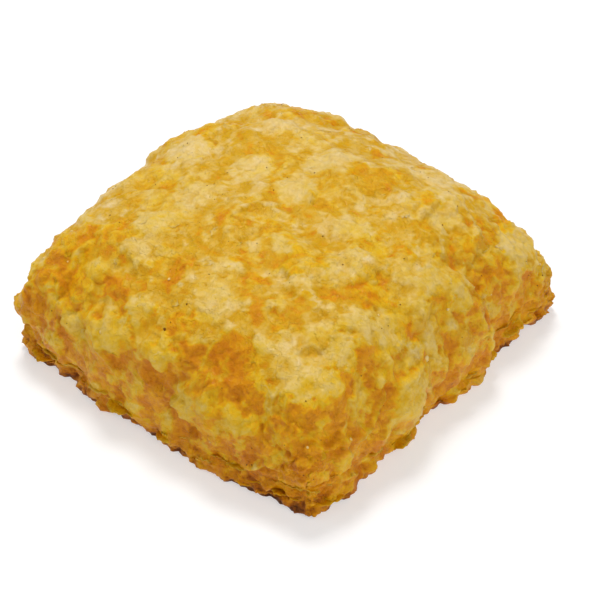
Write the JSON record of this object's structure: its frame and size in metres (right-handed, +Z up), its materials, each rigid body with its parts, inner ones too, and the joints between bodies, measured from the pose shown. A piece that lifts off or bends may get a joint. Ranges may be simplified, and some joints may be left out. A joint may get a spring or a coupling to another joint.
{
  "type": "cheese pastry square",
  "caption": "Baked square of puff pastry under melted cheese, puffed to a pillow, with blisters on top, flaky layers round its side and a flat base it rests on",
  "frame": {"origin": "Middle of the bounding box at its bottom, on the plane of the flat base", "axes": "+Z up. X and Y run square to the pastry's sides. The corner at +X and -Y is the one nearest the viewer in the picture, and the corner at +X and +Y is on the right."},
  "size_m": [0.1098, 0.1104, 0.0449],
  "materials": {
    "crust": "golden baked puff pastry with melted cheese, slightly greasy"
  },
  "bodies": {
    "root": {"pastry": "crust"}
  },
  "joints": []
}
